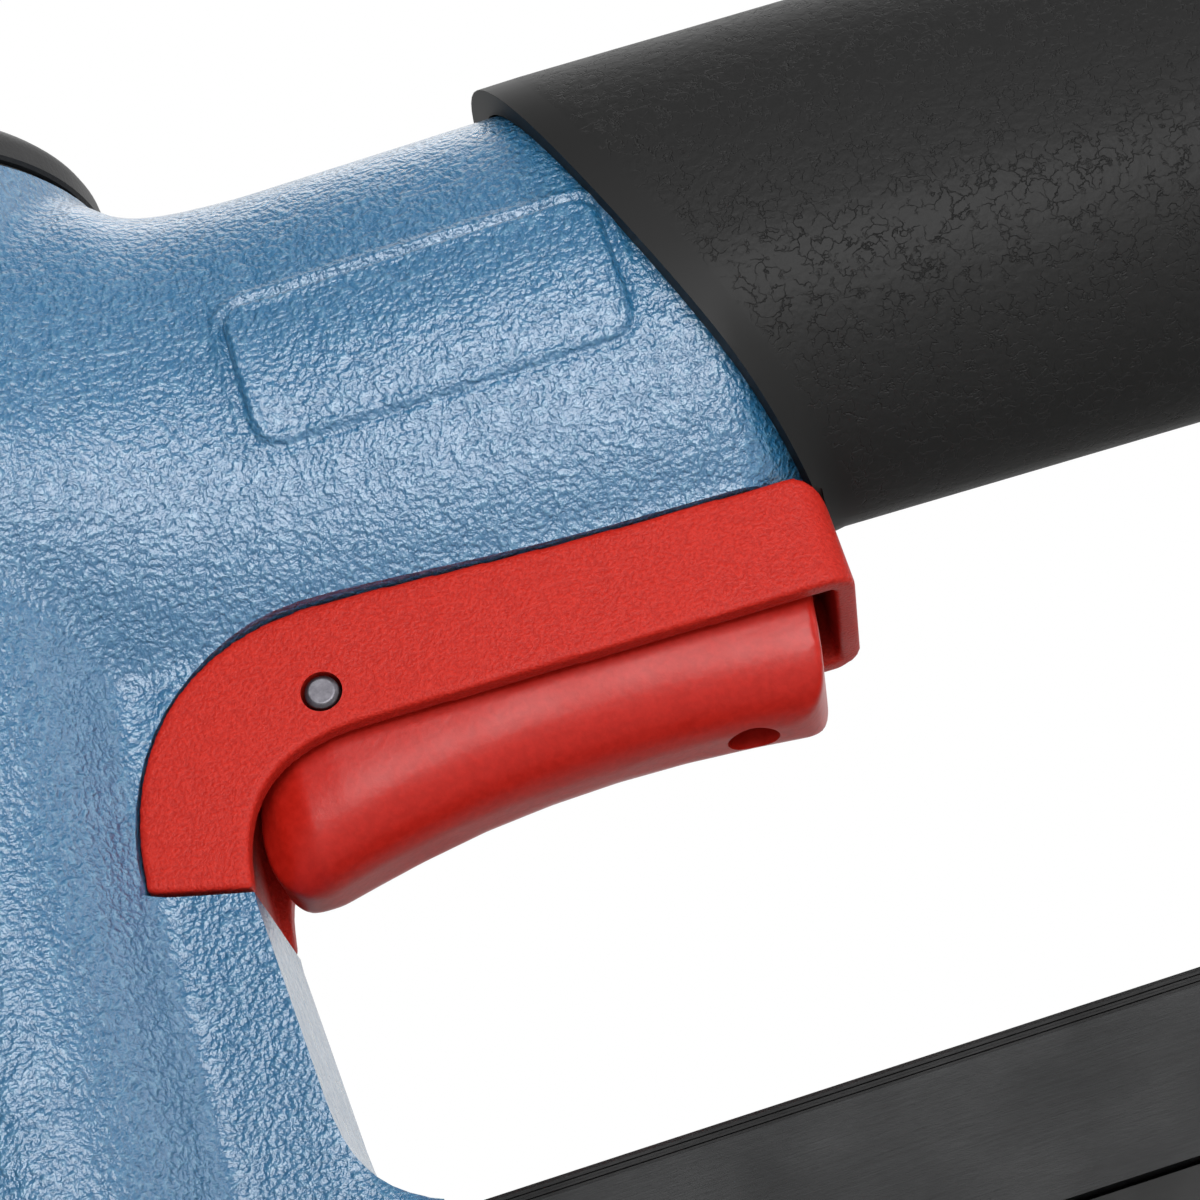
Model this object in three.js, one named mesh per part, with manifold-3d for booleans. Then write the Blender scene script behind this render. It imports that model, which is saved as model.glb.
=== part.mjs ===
// A pneumatic upholstery staple gun, in millimetres, +Z up.
// While it is drawn, x = 0 is the driver axis, +X runs towards the handle's rear end, and
// z = 0 is the surface under the nose tip. The whole gun is then centred on X.
import * as THREE from 'three';
import { mergeVertices } from 'three/addons/utils/BufferGeometryUtils.js';
import Module from 'manifold-3d';

const wasm = await Module();
wasm.setup();

// Driving dimensions
const gap = 0.3;              // clearance between neighbouring pieces
const seat = 0.1;             // clearance between flat faces that rest on each other
const headRadius = 17.8;       // the head widens from here to its flange
const flangeRadius = 24;
const landX = 23;             // machined land at the back of the head
const landHalf = 9.2;
const castingTop = 129.3;
const castingFloor = 28.4;    // underside of the casting's foot flange
const flangeTop = 32;
const boreRadius = 14.6;
const valveBoreRadius = 18;
const boreBottom = 50;
const valveBoreBottom = 114;
const sleeveInner = 12;
const sleeveOuter = 13.5;
const capRadius = 24.2;
const capBottom = 130.2;
const capTop = 135;

const handleHalf = 15.5;
const handleTop = 125.2;
const handleBottom = 80.9;
const neckBottom = 79.4;
const neckEnd = 77;
const handleEnd = 183;
const droopStart = 65;
const droopSlope = 0.028;
const gripWall = 2.2;
const gripEnd = 182;
const endCapStart = 183.7;
const endCapEnd = 190;
const plugEnd = 216;
const plugHeight = 102.3;

const bracketHalf = 9.7;
const pinX = 32.7;
const pinZ = 73.4;
const pinRadius = 1.5;
const triggerHalf = 7;
const valveX = 56;
const valveRadius = 6.4;

const magazineHalf = 11;
const magazineTop = 28;
const magazineStep = 14.2;
const magazineFront = 6;
const magazineEnd = 166;
const slideHalf = 10;
const slideBottom = 4;
const bladeHalfWidth = 6.4;
const noseTop = 40;
const tailEnd = 184;
const capScrewAt = 14.9;
const noseScrewY = 8.2;
const noseScrewHeights = [31.8, 37];
const endScrewReach = 17.5;
const tailScrewHeights = [8.5, 16];

const paint = { color: 0x8cabc4, roughness: 0.4, metalness: 0.2 };
const blackRubber = { color: 0x2c2c2d, roughness: 0.7, metalness: 0 };
const blackPlastic = { color: 0x2a2a2b, roughness: 0.5, metalness: 0 };
const redPlastic = { color: 0xc73f35, roughness: 0.45, metalness: 0 };
const blackSteel = { color: 0x3f3f40, roughness: 0.4, metalness: 0.7 };
const steel = { color: 0x9a9aa0, roughness: 0.35, metalness: 0.9 };
const aluminium = { color: 0xb8babd, roughness: 0.4, metalness: 0.8 };
const brass = { color: 0xb79a5b, roughness: 0.35, metalness: 0.9 };
const sealRubber = { color: 0x1c1c1c, roughness: 0.6, metalness: 0 };

const gun = new THREE.Group();
gun.position.x = -(plugEnd - capRadius) / 2;

// Helpers: closed geometry, solids and booleans

function closed(geometry) {
  geometry.deleteAttribute('normal');
  geometry.deleteAttribute('uv');
  return mergeVertices(geometry, 1e-4);
}

function solid(geometry) {
  const merged = closed(geometry);
  const vertProperties = new Float32Array(merged.attributes.position.array);
  const triVerts = new Uint32Array(merged.index.array);
  return new wasm.Manifold(new wasm.Mesh({ numProp: 3, vertProperties, triVerts }));
}

function toGeometry(manifold) {
  const mesh = manifold.getMesh();
  const geometry = new THREE.BufferGeometry();
  geometry.setAttribute('position', new THREE.BufferAttribute(mesh.vertProperties, 3));
  geometry.setIndex(new THREE.BufferAttribute(mesh.triVerts, 1));
  geometry.computeVertexNormals();
  return geometry;
}

function add(name, shape, look) {
  const geometry = shape instanceof THREE.BufferGeometry ? closed(shape) : toGeometry(shape);
  const mesh = new THREE.Mesh(geometry, new THREE.MeshStandardMaterial(look));
  mesh.name = name;
  gun.add(mesh);
}

// A shape drawn in (y, z), extruded along X from x0 to x1
function alongX(shape, x0, x1, curveSegments = 8) {
  const geometry = new THREE.ExtrudeGeometry(shape, { depth: x1 - x0, bevelEnabled: false, curveSegments });
  const turn = new THREE.Matrix4().makeBasis(
    new THREE.Vector3(0, 1, 0), new THREE.Vector3(0, 0, 1), new THREE.Vector3(1, 0, 0));
  return geometry.applyMatrix4(turn).translate(x0, 0, 0);
}

// A shape drawn in (x, z), extruded along Y from y0 to y1
function alongY(shape, y0, y1, curveSegments = 8, bevel = 0) {
  const geometry = new THREE.ExtrudeGeometry(shape, {
    depth: y1 - y0 - 2 * bevel,
    bevelEnabled: bevel > 0,
    bevelThickness: bevel,
    bevelSize: bevel,
    bevelOffset: -bevel,
    bevelSegments: 3,
    curveSegments,
  });
  return geometry.rotateX(Math.PI / 2).translate(0, y1 - bevel, 0);
}

function outline(points) {
  return new THREE.Shape(points.map(([u, v]) => new THREE.Vector2(u, v)));
}

// A ring or disc turned about Z from (radius, z) points that start and end on the axis
// or close on themselves
function turned(points, segments = 32) {
  const profile = points.map(([r, z]) => new THREE.Vector2(r, z));
  return new THREE.LatheGeometry(profile, segments).rotateX(Math.PI / 2);
}

function disc(radius, z0, z1, segments = 32) {
  return turned([[0, z0], [radius, z0], [radius, z1], [0, z1]], segments);
}

function ring(inner, outer, z0, z1, segments = 32) {
  return turned([[inner, z0], [outer, z0], [outer, z1], [inner, z1], [inner, z0]], segments);
}

function rodX(radius, x0, x1, y, z, segments = 12) {
  return disc(radius, x0, x1, segments).rotateY(Math.PI / 2).translate(0, y, z);
}

function rodY(radius, y0, y1, x, z, segments = 12) {
  return disc(radius, y0, y1, segments).rotateX(-Math.PI / 2).translate(x, 0, z);
}

function box(x0, x1, y0, y1, z0, z1) {
  const geometry = new THREE.BoxGeometry(x1 - x0, y1 - y0, z1 - z0);
  return geometry.translate((x0 + x1) / 2, (y0 + y1) / 2, (z0 + z1) / 2);
}

// A closed O-ring about Z
function oRing(radius, wire, z, segments = 20) {
  return new THREE.TorusGeometry(radius, wire / 2, 4, segments).translate(0, 0, z);
}

// A helical compression spring about Z
function coil(radius, wire, turns, z0, z1) {
  const points = [];
  const steps = turns * 8;
  for (let i = 0; i <= steps; i += 1) {
    const angle = (i / steps) * turns * 2 * Math.PI;
    const height = z0 + wire / 2 + (i / steps) * (z1 - z0 - wire);
    points.push(new THREE.Vector3(radius * Math.cos(angle), radius * Math.sin(angle), height));
  }
  const section = new THREE.Shape().absarc(0, 0, wire / 2, 0, 2 * Math.PI);
  const extrudePath = new THREE.CatmullRomCurve3(points);
  return new THREE.ExtrudeGeometry(section, { steps, curveSegments: 2, extrudePath, bevelEnabled: false });
}

// The handle droops towards its rear end
function droop(geometry) {
  const position = geometry.attributes.position;
  for (let i = 0; i < position.count; i += 1) {
    const run = Math.max(0, position.getX(i) - droopStart);
    position.setZ(i, position.getZ(i) - droopSlope * run);
  }
  return geometry;
}

function droopAt(x) {
  return -droopSlope * Math.max(0, x - droopStart);
}

// A socket head screw, head upwards along +Z, with its head's underside at z = 0
function screw(shankRadius, length, headRadiusOut, headHeight) {
  const body = solid(turned([[0, -length], [shankRadius - 0.3, -length], [shankRadius, -length + 0.3],
    [shankRadius, 0], [headRadiusOut, 0], [headRadiusOut, headHeight - 0.3],
    [headRadiusOut - 0.3, headHeight], [0, headHeight]], 10));
  const socket = new THREE.CylinderGeometry(headRadiusOut * 0.5, headRadiusOut * 0.5, headHeight * 1.2, 6);
  return body.subtract(solid(socket.rotateX(Math.PI / 2).translate(0, 0, headHeight)));
}

// Body casting: head and hollow handle in one piece

// Egg-shaped section of the handle, grown outwards by an offset
function handleOutline(offset) {
  const half = handleHalf + offset;
  const top = handleTop + offset;
  const bottom = handleBottom - offset;
  const keel = 4.6 + offset * 0.3;
  const shape = new THREE.Shape();
  shape.moveTo(0, bottom);
  shape.bezierCurveTo(keel, bottom, half, bottom + 9, half, bottom + 21);
  shape.bezierCurveTo(half, top - 9, half - 5, top, 0, top);
  shape.bezierCurveTo(-half + 5, top, -half, top - 9, -half, bottom + 21);
  shape.bezierCurveTo(-half, bottom + 9, -keel, bottom, 0, bottom);
  return shape;
}

// Section above the trigger bracket, where the underside is flat
function neckOutline(offset) {
  const half = handleHalf + offset;
  const top = handleTop + offset;
  const bottom = neckBottom - offset;
  const foot = 9.4 + offset * 0.8;
  const shape = new THREE.Shape();
  shape.moveTo(-foot, bottom);
  shape.lineTo(foot, bottom);
  shape.bezierCurveTo(foot + 4, bottom + 6, half, bottom + 14, half, bottom + 23);
  shape.bezierCurveTo(half, top - 9, half - 5, top, 0, top);
  shape.bezierCurveTo(-half + 5, top, -half, top - 9, -half, bottom + 23);
  shape.bezierCurveTo(-half, bottom + 14, -foot - 4, bottom + 6, -foot, bottom);
  return shape;
}

// Side outline of the bracket's upper edge, from the head's back to the handle's underside
function bracketTopCurve(shape, offset) {
  shape.lineTo(14.6 - offset, 61);
  shape.bezierCurveTo(14.6 - offset, 73.5, 22 - offset, 81.3 + offset, 33, 81.3 + offset);
  shape.lineTo(59, 79.6 + offset);
  shape.lineTo(76.6 + offset, 78.9 + offset);
}

function bracketSpace() {
  const shape = new THREE.Shape();
  shape.moveTo(30, 56);
  shape.lineTo(14.6 - gap, 60.7);
  bracketTopCurve(shape, gap);
  shape.bezierCurveTo(79.4, 79.2, 79.4, 79, 79.4, 76.5);
  shape.lineTo(79.4, 56);
  return solid(alongY(shape, -20, 20)).subtract(solid(disc(16.4, 40, 100)));
}

function headSolid() {
  const barrel = solid(turned([[0, flangeTop - 2], [headRadius, flangeTop - 2], [headRadius, 70], [19.6, 90],
    [22.4, 110], [flangeRadius, 122], [flangeRadius, castingTop], [0, castingTop]], 40));
  const boss = solid(box(0, landX, -landHalf, landHalf, flangeTop - 2, 64));
  const foot = new THREE.Shape();
  foot.moveTo(-9, castingFloor);
  foot.lineTo(31, castingFloor);
  foot.lineTo(30.5, 30);
  foot.bezierCurveTo(26.5, 32, 24, 35, landX, 39);
  foot.lineTo(-9, 39);
  return barrel.add(boss).add(solid(alongY(foot, -landHalf, landHalf)));
}

function neckSolid() {
  const side = new THREE.Shape();
  side.moveTo(10, 61);
  bracketTopCurve(side, 0);
  side.lineTo(77, 100);
  side.lineTo(10, 100);
  return solid(alongY(side, -9.9, 9.9));
}

function labelRecess(side) {
  const shape = new THREE.Shape();
  shape.moveTo(36.5, 93.7);
  shape.lineTo(64.5, 93.7);
  shape.absarc(64.5, 96.7, 3, -Math.PI / 2, 0);
  shape.lineTo(67.5, 105);
  shape.absarc(64.5, 105, 3, 0, Math.PI / 2);
  shape.lineTo(36.5, 108);
  shape.absarc(36.5, 105, 3, Math.PI / 2, Math.PI);
  shape.lineTo(33.5, 96.7);
  shape.absarc(36.5, 96.7, 3, Math.PI, Math.PI * 1.5);
  const y = side * handleHalf;
  return solid(alongY(shape, y - 0.6, y + 0.6, 3));
}

function castingSolid() {
  const handle = solid(alongX(neckOutline(0), 0, droopStart))
    .add(solid(droop(alongX(neckOutline(0), droopStart, neckEnd))))
    .add(solid(droop(alongX(handleOutline(0), droopStart, handleEnd))));
  let casting = headSolid().add(handle).add(neckSolid());
  casting = casting.subtract(bracketSpace());
  casting = casting.subtract(solid(disc(boreRadius, boreBottom, castingTop)));
  casting = casting.subtract(solid(disc(valveBoreRadius, valveBoreBottom, castingTop + 1)));
  // air reservoir in the handle, open at the rear and into the head
  const reservoir = new THREE.Shape();
  reservoir.absellipse(0, plugHeight, 9.5, 11, 0, 2 * Math.PI);
  casting = casting.subtract(solid(droop(alongX(reservoir, droopStart, handleEnd + 1, 10))));
  casting = casting.subtract(solid(alongX(reservoir, 12, droopStart + 0.5, 10)));
  // trigger valve bore, driver slot, magazine screws
  casting = casting.subtract(solid(disc(valveRadius + gap, 70, 96, 24).translate(valveX, 0, 0)));
  casting = casting.subtract(solid(box(-1.1, 1.1, -bladeHalfWidth - gap, bladeHalfWidth + gap, 20, 60)));
  // front face for the nose plate
  casting = casting.subtract(solid(box(-30, -9, -30, 30, 20, noseTop + 2)));
  for (const side of [-1, 1]) {
    casting = casting.subtract(labelRecess(side));
    casting = casting.subtract(solid(disc(1.7, 25, 38, 8).translate(20, side * 5.5, 0)));
    for (const along of [-1, 1]) {
      const place = [along * capScrewAt, side * capScrewAt, 0];
      casting = casting.subtract(solid(disc(1.7, 117, 140, 8).translate(...place)));
    }
    for (const height of noseScrewHeights) {
      casting = casting.subtract(solid(rodX(1.7, -12, -2.4, side * noseScrewY, height, 8)));
    }
    const screwZ = plugHeight + side * endScrewReach + droopAt(handleEnd);
    casting = casting.subtract(solid(rodX(1.8, 170, 190, 0, screwZ, 8)));
  }
  return casting;
}

add('body_casting', castingSolid(), paint);

// Cylinder cap, gasket and exhaust deflector

function capHoles(piece) {
  let result = piece;
  for (const sideX of [-1, 1]) {
    for (const sideY of [-1, 1]) {
      const hole = disc(1.7, 120, 140, 8).translate(sideX * capScrewAt, sideY * capScrewAt, 0);
      result = result.subtract(solid(hole));
    }
  }
  return result;
}

add('head_gasket', capHoles(solid(ring(valveBoreRadius + 0.2, flangeRadius - 0.3,
  castingTop + seat, capBottom - seat))), sealRubber);

const capProfile = [[0, capBottom], [capRadius - 0.3, capBottom], [capRadius, capBottom + 0.4],
  [capRadius, capTop - 1.6], [capRadius - 0.5, capTop - 0.5], [capRadius - 1.6, capTop], [0, capTop]];
let cylinderCap = capHoles(solid(turned(capProfile, 40)));
cylinderCap = cylinderCap.subtract(solid(disc(2.3, 128, 140, 12)));
add('cylinder_cap', cylinderCap, blackPlastic);

let screwNumber = 1;
for (const sideX of [-1, 1]) {
  for (const sideY of [-1, 1]) {
    const shank = screw(1.4, 16, 2.7, 2.8).translate([sideX * capScrewAt, sideY * capScrewAt, capTop + seat]);
    add(`cap_screw_${screwNumber}`, shank, steel);
    screwNumber += 1;
  }
}

let deflector = solid(turned([[0, capTop + gap], [15.5, capTop + gap], [16, capTop + 0.8], [16, 138.6],
  [14.5, 141.4], [11.5, 142.6], [0, 142.6]], 28));
deflector = deflector.subtract(solid(disc(13.6, 137, 140.6, 28)).subtract(solid(disc(5.5, 136, 141, 16))));
deflector = deflector.subtract(solid(box(10, 20, -9, 9, 137, 139.6)));
deflector = deflector.subtract(solid(disc(2.6, 130, 150, 12)));
deflector = deflector.subtract(solid(disc(5.2, 140.9, 150, 16)));
add('exhaust_deflector', deflector, blackPlastic);
add('deflector_screw', screw(1.9, 9.5, 4.4, 2.6).translate([0, 0, 141.2]), steel);

// Cylinder, piston and driver

add('cylinder_sleeve', ring(sleeveInner, sleeveOuter, boreBottom + 2, valveBoreBottom - 0.4), aluminium);
add('sleeve_o_ring_lower', oRing(14.1, 0.7, 58), sealRubber);
add('sleeve_o_ring_upper', oRing(14.1, 0.7, 108), sealRubber);
add('bumper', turned([[7.4, boreBottom + seat], [11.6, boreBottom + seat], [11.6, 60], [10.6, 62],
  [8.4, 62], [7.4, 60], [7.4, boreBottom + seat]], 24), sealRubber);

let piston = solid(turned([[0, 84], [6.7, 84], [6.9, 84.2], [6.9, 92], [11.6, 92], [11.6, 96], [10.1, 96],
  [10.1, 98.2], [11.6, 98.2], [11.6, 102], [0, 102]], 24));
piston = piston.subtract(solid(box(-0.9, 0.9, -8, 8, 80, 92.2)));
piston = piston.subtract(solid(rodX(1.5, -8, 8, 0, 88, 12)));
add('piston', piston, aluminium);
add('piston_o_ring', oRing(11, 1.6, 97.1), sealRubber);
const blade = solid(box(-0.5, 0.5, -bladeHalfWidth, bladeHalfWidth, 28.6, 91.8));
add('driver_blade', blade.subtract(solid(rodX(1.5, -3, 3, 0, 88, 12))), steel);
add('driver_pin', rodX(1.2, -6, 6, 0, 88, 12), steel);

// Head valve on top of the sleeve

add('head_valve', turned([[0, 114.6], [17.4, 114.6], [17.4, 115.6], [16.2, 115.6], [16.2, 117.2],
  [17.4, 117.2], [17.4, 118.4], [9, 118.4], [9, 126.4], [0, 126.4]], 28), aluminium);
add('head_valve_o_ring', oRing(17.05, 1.3, 116.4), sealRubber);
add('head_valve_spring', coil(12.5, 1.2, 4, 118.8, 129.9), steel);

// Trigger bracket: a red channel in the corner between head and handle

function bracketSolid() {
  const side = new THREE.Shape();
  side.moveTo(23, 58.7);
  side.lineTo(14.6, 61);
  bracketTopCurve(side, 0);
  side.bezierCurveTo(78.6, 78.8, 79, 78, 79, 76.4);
  side.lineTo(79, 68.6);
  side.lineTo(76.4, 68.6);
  side.lineTo(36, 69.9);
  side.bezierCurveTo(27.5, 70.2, 23.4, 66.5, 23, 58.7);
  const inner = new THREE.Shape();
  inner.moveTo(22.2, 55);
  inner.lineTo(22.2, 66);
  inner.bezierCurveTo(22.6, 74, 26, 78.3, 33, 78.3);
  inner.lineTo(59, 77.4);
  inner.lineTo(77, 76.8);
  inner.lineTo(77, 55);
  let piece = solid(alongY(side, -bracketHalf, bracketHalf, 8));
  piece = piece.subtract(solid(disc(16.7, 40, 100)));
  piece = piece.subtract(solid(alongY(inner, -bracketHalf + 2.1, bracketHalf - 2.1, 6)));
  piece = piece.subtract(solid(disc(valveRadius + 0.6, 70, 90, 24).translate(valveX, 0, 0)));
  return piece.subtract(solid(rodY(1.8, -20, 20, pinX, pinZ, 16)));
}

add('trigger_bracket', bracketSolid(), redPlastic);
add('trigger_pin', rodY(pinRadius, -bracketHalf - 0.2, bracketHalf + 0.2, pinX, pinZ, 20), steel);

// Trigger: a finger lever that hangs on the pin

function triggerSolid() {
  const side = new THREE.Shape();
  side.moveTo(28.7, 74);
  side.bezierCurveTo(27, 71, 25.6, 68.5, 24.6, 64.6);
  side.bezierCurveTo(24.2, 61.6, 25, 59, 28, 59);
  side.bezierCurveTo(35, 60.6, 42, 61.9, 52, 61.9);
  side.bezierCurveTo(59, 61.9, 64, 61.6, 69.6, 60.8);
  side.bezierCurveTo(72.6, 60.6, 73.2, 63, 73.8, 66.4);
  side.lineTo(74.6, 71.6);
  side.lineTo(37, 72.6);
  side.bezierCurveTo(36.4, 76.6, 33.4, 77.5, 31.6, 77.2);
  side.bezierCurveTo(30, 76.8, 29, 75.8, 28.7, 74);
  let lever = solid(alongY(side, -triggerHalf, triggerHalf, 6));
  // round underside
  const section = new THREE.Shape();
  section.moveTo(-triggerHalf, 80);
  section.lineTo(-triggerHalf, 66.5);
  section.bezierCurveTo(-triggerHalf, 62.4, -4.4, 59.4, 0, 59.0);
  section.bezierCurveTo(4.4, 59.4, triggerHalf, 62.4, triggerHalf, 66.5);
  section.lineTo(triggerHalf, 80);
  lever = lever.intersect(solid(alongX(section, 20, 80, 5)));
  const pocket = solid(box(38, 71.5, -4.8, 4.8, 65.6, 90));
  lever = lever.subtract(pocket);
  lever = lever.subtract(solid(disc(2.25, 50, 90, 16).translate(66, 0, 0)));
  return lever.subtract(solid(rodY(pinRadius + gap, -20, 20, pinX, pinZ, 16)));
}

add('trigger', triggerSolid(), redPlastic);

// Trigger valve

let valveBody = solid(turned([[0, 78.6], [5.6, 78.6], [valveRadius, 79.4], [valveRadius, 95], [0, 95]], 24));
valveBody = valveBody.subtract(solid(disc(1.5 + gap, 70, 93, 16)));
add('valve_body', valveBody.translate([valveX, 0, 0]), brass);
add('valve_stem', disc(1.5, 66, 89, 16).translate(valveX, 0, 0), steel);
add('trigger_spring', coil(3, 0.7, 5, 66, 78.3).translate(valveX, 0, 0), steel);

// Rubber grip: a sleeve over the handle with a slanted front edge

function gripSolid() {
  const wall = gripWall + gap;
  const outer = solid(alongX(neckOutline(wall), droopStart - 10, droopStart, 8))
    .add(solid(droop(alongX(neckOutline(wall), droopStart, 79.3, 8))))
    .add(solid(droop(alongX(handleOutline(wall), droopStart, gripEnd, 8))));
  const inner = solid(alongX(neckOutline(gap), droopStart - 20, droopStart, 8))
    .add(solid(droop(alongX(neckOutline(gap), droopStart, neckEnd + gap, 8))))
    .add(solid(droop(alongX(handleOutline(gap), droopStart, gripEnd + 5, 8))));
  const slant = outline([[0, 60], [84.4, 60], [60.3 - 0.36 * 8, 135], [0, 135]]);
  const bracketCorner = solid(box(60, 79.3, -40, 40, 60, 79.25));
  return outer.subtract(inner).subtract(solid(alongY(slant, -40, 40))).subtract(bracketCorner);
}

add('rubber_grip', gripSolid(), blackRubber);

// Rear end of the handle: seal, end cap, screws and quick-connect plug

const rearDroop = droopAt(handleEnd);
const plugZ = plugHeight + rearDroop;

function endPlate(offset, x0, x1, plugHole) {
  let plate = solid(alongX(handleOutline(offset), x0, x1, 8)).translate([0, 0, rearDroop]);
  for (const side of [-1, 1]) {
    plate = plate.subtract(solid(rodX(1.8, x0 - 1, x1 + 1, 0, plugZ + side * endScrewReach, 12)));
  }
  return plate.subtract(solid(rodX(plugHole, x0 - 1, x1 + 1, 0, plugZ, 24)));
}

add('end_cap_seal', endPlate(-0.6, handleEnd + seat, endCapStart - seat, 7), sealRubber);
add('handle_end_cap', endPlate(gripWall + gap, endCapStart, endCapEnd, 6.6), aluminium);
for (const side of [-1, 1]) {
  const piece = solid(toGeometry(screw(1.5, 17, 2.9, 3)).rotateY(Math.PI / 2));
  const name = side > 0 ? 'end_cap_screw_1' : 'end_cap_screw_2';
  add(name, piece.translate([endCapEnd + seat, 0, plugZ + side * endScrewReach]), steel);
}

const plugProfile = [[1.9, 180], [6.2, 180], [6.2, endCapEnd + seat], [7.8, endCapEnd + seat], [7.8, 197],
  [5.9, 197.6], [5.9, 203], [4, 205], [4, 208.6], [5.9, 210.2], [5.9, 211.4], [4.1, 213], [4.1, 215.4],
  [3.6, plugEnd], [1.9, plugEnd], [1.9, 180]];
const hexStock = new THREE.CylinderGeometry(8.1, 8.1, 6.8, 6).rotateZ(Math.PI / 2);
let airPlug = solid(turned(plugProfile, 16).rotateY(Math.PI / 2));
const sleeveStock = solid(rodX(7, 170, 230, 0, 0, 16));
airPlug = airPlug.intersect(solid(toGeometry(sleeveStock.add(
  solid(hexStock.translate(endCapEnd + 3.6, 0, 0))))));
add('air_plug', airPlug.translate([0, 0, plugZ]), steel);

// Nose: front plate, back plate and screws

function nosePlate(x0, x1, top, holes) {
  const face = outline([[-7.6, 0], [7.6, 0], [9.6, 5], [9.6, 22], [10.9, 26], [10.9, top], [-10.9, top],
    [-10.9, 26], [-9.6, 22], [-9.6, 5]]);
  let plate = solid(alongX(face, x0, x1));
  for (const height of holes) {
    for (const side of [-1, 1]) {
      plate = plate.subtract(solid(rodX(1.7, x0 - 1, x1 + 1, side * noseScrewY, height, 12)));
    }
  }
  return plate;
}

const noseBlockFront = -9 - seat;
let frontPlate = nosePlate(-12.4, noseBlockFront, noseTop, noseScrewHeights);
const guide = nosePlate(noseBlockFront - 1, -1, castingFloor - 0.4, []);
frontPlate = frontPlate.add(guide);
frontPlate = frontPlate.subtract(solid(box(-2.2, 0, -bladeHalfWidth - gap, bladeHalfWidth + gap, -5, 50)));
add('nose_front_plate', frontPlate, blackSteel);
let backPlate = nosePlate(0.9, magazineFront - 0.4, castingFloor - 0.4, []);
backPlate = backPlate.subtract(solid(box(0, 10, -bladeHalfWidth - 0.5, bladeHalfWidth + 0.5, 7, 24.5)));
add('nose_back_plate', backPlate, blackSteel);

screwNumber = 1;
for (const side of [-1, 1]) {
  for (const height of noseScrewHeights) {
    const piece = solid(toGeometry(screw(1.4, 9, 2.3, 2.4)).rotateY(-Math.PI / 2));
    add(`nose_screw_${screwNumber}`, piece.translate([-12.5, side * noseScrewY, height]), steel);
    screwNumber += 1;
  }
}

// Magazine: fixed outer rail, sliding inner channel, pusher

const railWall = 2;
let rail = solid(box(magazineFront, magazineEnd, -magazineHalf, magazineHalf, magazineStep, magazineTop));
rail = rail.subtract(solid(box(magazineFront - 1, magazineEnd + 1, -magazineHalf + railWall,
  magazineHalf - railWall, magazineStep - 1, magazineTop - railWall)));
for (const side of [-1, 1]) {
  rail = rail.subtract(solid(disc(1.7, 20, 35, 12).translate(20, side * 5.5, 0)));
  const groove = box(magazineFront - 1, magazineEnd + 1, side * magazineHalf - 0.25,
    side * magazineHalf + 0.25, magazineTop - 1.1, magazineTop - 0.7);
  rail = rail.subtract(solid(groove));
}
rail = rail.subtract(solid(box(154.4, magazineEnd + 1, -5.2, 5.2, 25, 30)));
add('magazine_rail', rail, blackSteel);

for (const side of [-1, 1]) {
  const name = side > 0 ? 'magazine_screw_1' : 'magazine_screw_2';
  const piece = solid(toGeometry(screw(1.4, 9.4, 2.6, 1.2)).rotateX(Math.PI));
  add(name, piece.translate([20, side * 5.5, magazineTop - railWall - seat]), steel);
}

const slideSection = outline([[-slideHalf, slideBottom], [slideHalf, slideBottom],
  [slideHalf, magazineStep - 0.4], [8.4, magazineStep - 0.4], [8.4, 6.4], [5.2, 6.4], [5.2, 20], [-5.2, 20],
  [-5.2, 6.4], [-8.4, 6.4], [-8.4, magazineStep - 0.4], [-slideHalf, magazineStep - 0.4]]);
let slide = solid(alongX(slideSection, magazineFront + 0.2, 168));
for (const z of tailScrewHeights) {
  slide = slide.subtract(solid(rodX(1.3, 155, 170, 0, z, 12)));
}
add('magazine_slide', slide, blackSteel);

// The pusher straddles the inner rail and carries its rolled strip spring
let pusher = solid(box(9, 31, -6.6, 6.6, 10, 24.4));
pusher = pusher.subtract(solid(box(8, 32, -5.5, 5.5, 5, 20.3)));
pusher = pusher.subtract(solid(box(20.2, 23.8, -4.6, 4.6, 21.2, 30)));
add('pusher', pusher, steel);
add('pusher_roll_spring', rodY(1.4, -4.2, 4.2, 22, 22.9), steel);

// Magazine tail with its latch

function tailSolid() {
  const side = new THREE.Shape();
  side.moveTo(163, 0);
  side.lineTo(180, 0);
  side.bezierCurveTo(183, 0, tailEnd, 2, tailEnd, 5);
  side.lineTo(tailEnd, 22);
  side.lineTo(176.5, 23.6);
  side.lineTo(176.5, 33);
  side.lineTo(168.4, 33);
  side.lineTo(168.4, 3.7);
  side.lineTo(163, 3.7);
  let tail = solid(alongY(side, -10.6, 10.6, 5));
  tail = tail.subtract(solid(box(160, 190, -5, 5, 26, 40)));
  tail = tail.subtract(solid(rodY(1.5 + gap, -20, 20, 172.4, 29.6, 16)));
  tail = tail.subtract(solid(disc(2.8, 20.6, 30, 16).translate(180, 0, 0)));
  for (const z of tailScrewHeights) {
    tail = tail.subtract(solid(rodX(1.6, 150, 190, 0, z, 12)));
    tail = tail.subtract(solid(rodX(3, 178, 190, 0, z, 16)));
  }
  return tail;
}

add('magazine_tail', tailSolid(), blackPlastic);
for (const [i, z] of tailScrewHeights.entries()) {
  const piece = solid(toGeometry(screw(1.1, 18, 2.4, 2.2)).rotateY(Math.PI / 2));
  add(`tail_screw_${i + 1}`, piece.translate([178.1, 0, z]), steel);
}

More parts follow.
